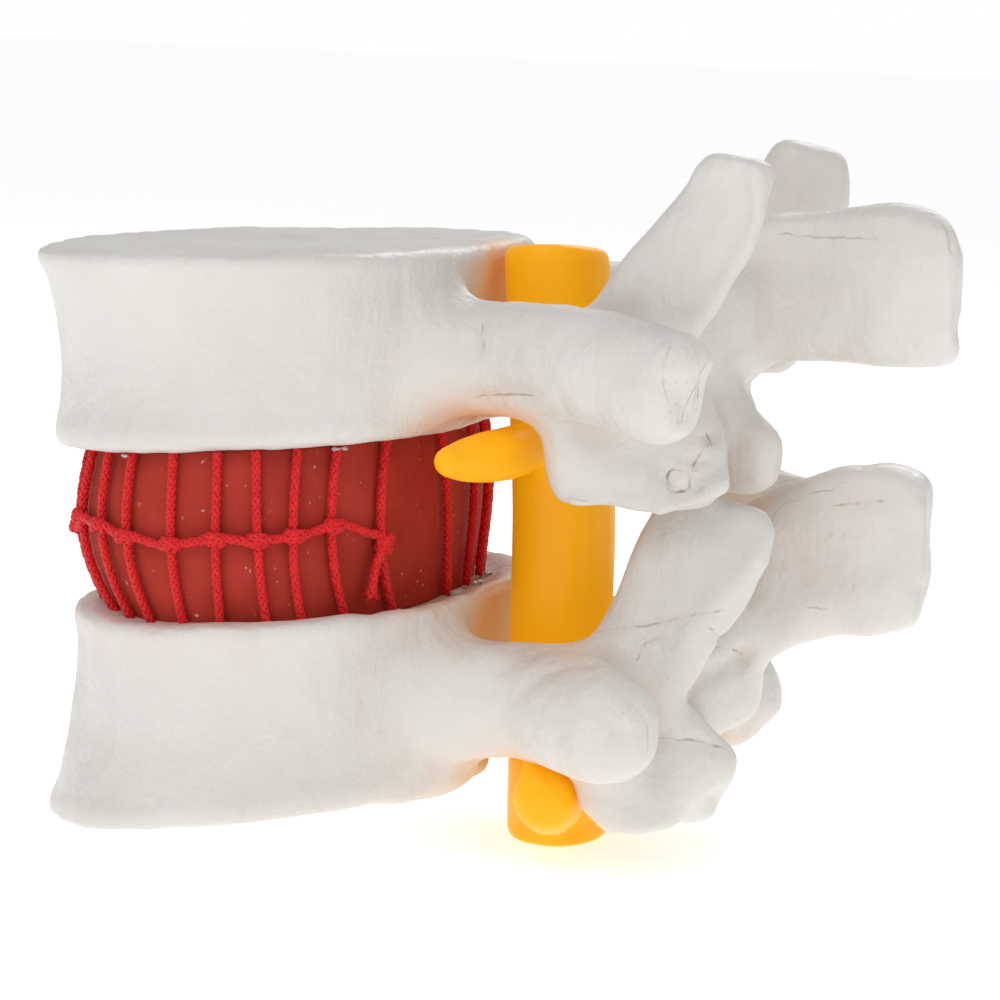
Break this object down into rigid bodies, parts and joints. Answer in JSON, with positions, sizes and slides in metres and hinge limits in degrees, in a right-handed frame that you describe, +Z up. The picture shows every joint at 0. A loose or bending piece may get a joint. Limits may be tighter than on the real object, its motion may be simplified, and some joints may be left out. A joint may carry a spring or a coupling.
{
  "type": "spine anatomy model",
  "caption": "Desk anatomy model of a lumbar motion segment: two vertebrae with a laced rubber disc between them and a dural sac with nerve roots.",
  "frame": {"origin": "centre of the bounding box on the surface that the model stands on", "axes": "+X towards the spinous processes at the back, +Z up, +Y to the far side, left and right being alike"},
  "size_m": [0.1096, 0.078, 0.0834],
  "materials": {
    "bone_plastic": "satin moulded plastic, off-white with warm grey recesses",
    "disc_rubber": "matte dark red moulded rubber with pale specks",
    "cord_red": "bright red braided cord",
    "sac_plastic": "satin yellow-orange soft plastic"
  },
  "bodies": {
    "root": {"upper_vertebra": "bone_plastic", "lower_vertebra": "bone_plastic", "intervertebral_disc": "disc_rubber", "annulus_cord_01": "cord_red", "annulus_cord_02": "cord_red", "annulus_cord_03": "cord_red", "annulus_cord_04": "cord_red", "annulus_cord_05": "cord_red", "annulus_cord_06": "cord_red", "annulus_cord_07": "cord_red", "annulus_cord_08": "cord_red", "annulus_cord_09": "cord_red", "annulus_cord_10": "cord_red", "annulus_cord_11": "cord_red", "annulus_cord_12": "cord_red", "annulus_cord_13": "cord_red", "annulus_cord_14": "cord_red", "annulus_cord_15": "cord_red", "annulus_cord_16": "cord_red", "annulus_cord_17": "cord_red", "annulus_cord_18": "cord_red", "annulus_cord_19": "cord_red", "annulus_cord_20": "cord_red", "annulus_cord_21": "cord_red", "annulus_cord_22": "cord_red", "annulus_cord_23": "cord_red", "annulus_cord_24": "cord_red", "annulus_cord_25": "cord_red", "tie_cord": "cord_red", "dural_sac": "sac_plastic"}
  },
  "joints": []
}
